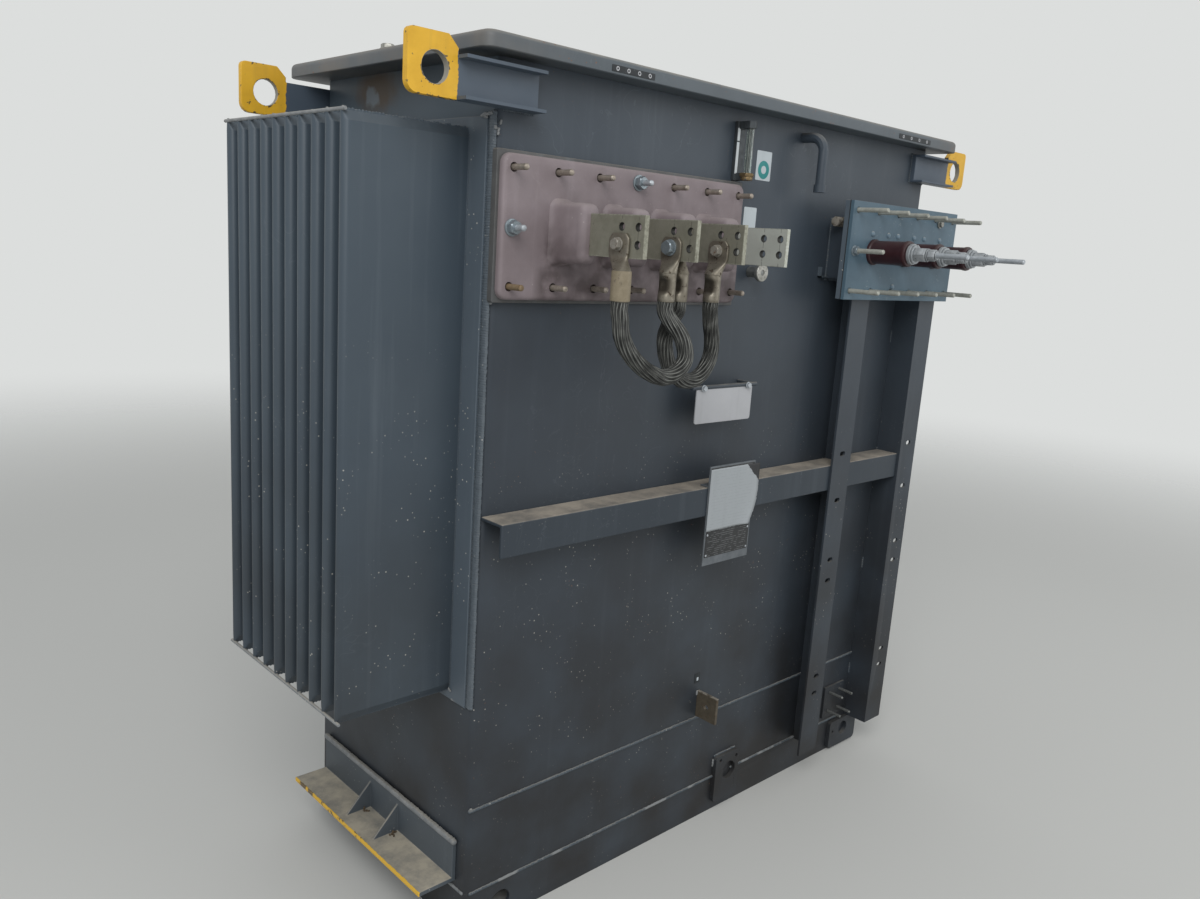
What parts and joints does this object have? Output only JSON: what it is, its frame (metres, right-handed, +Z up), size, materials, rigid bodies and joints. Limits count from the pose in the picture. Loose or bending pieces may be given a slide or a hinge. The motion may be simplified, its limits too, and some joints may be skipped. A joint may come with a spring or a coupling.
{
  "type": "power transformer",
  "caption": "Sealed oil-filled power transformer: tank with cooling fins on one end, low-voltage bars and high-voltage turret on the front.",
  "frame": {"origin": "floor level under the middle of the box round the object, braids left out", "axes": "+X along the tank away from the fins, -Y the front with the terminals, +Z up"},
  "size_m": [1.961, 1.0614, 1.827],
  "materials": {
    "tank_paint": "satin",
    "fin_paint": "satin",
    "lid_paint": "dusty",
    "yellow_paint": "satin",
    "grey_resin": "matt",
    "tinned_bar": "dull tinned",
    "tinned_lug": "dull tinned",
    "braid_metal": "weathered strands",
    "plate_paint": "satin",
    "red_brown_resin": "semi gloss",
    "zinc_hardware": "zinc plated",
    "gauge_metal": "dull",
    "gauge_glass": "clear",
    "white_sheet": "semi gloss",
    "earth_steel": "weathered"
  },
  "bodies": {
    "root": {"base_skirt": "tank_paint", "braid_left": "braid_metal", "braid_right": "braid_metal", "cable_lug_1": "tinned_lug", "cable_lug_2": "tinned_lug", "cable_lug_3": "tinned_lug", "cable_lug_4": "tinned_lug", "earth_terminal": "earth_steel", "fin_bank": "fin_paint", "foot_left": "tank_paint", "foot_right": "tank_paint", "gauge_body": "gauge_metal", "gauge_tube": "gauge_glass", "hv_bushing_1": "red_brown_resin", "hv_bushing_2": "red_brown_resin", "hv_bushing_3": "red_brown_resin", "hv_plate": "plate_paint", "hv_terminal_1": "zinc_hardware", "hv_terminal_2": "zinc_hardware", "hv_terminal_3": "zinc_hardware", "hv_turret": "tank_paint", "lid": "lid_paint", "lifting_lug_back_left": "yellow_paint", "lifting_lug_back_right": "yellow_paint", "lifting_lug_front_left": "yellow_paint", "lifting_lug_front_right": "yellow_paint", "lv_bar_1": "tinned_bar", "lv_bar_2": "tinned_bar", "lv_bar_3": "tinned_bar", "lv_bar_4": "tinned_bar", "lv_frame": "tank_paint", "lv_plate": "grey_resin", "nameplate": "white_sheet", "oil_valve": "zinc_hardware", "post_left": "tank_paint", "post_right": "tank_paint", "pull_eye_left": "tank_paint", "pull_eye_right": "tank_paint", "rail_back": "tank_paint", "rail_between_posts": "tank_paint", "rail_front": "tank_paint", "relief_pipe": "tank_paint", "sign_board": "white_sheet", "stud_pad": "tank_paint", "tank_body": "tank_paint"}
  },
  "joints": []
}
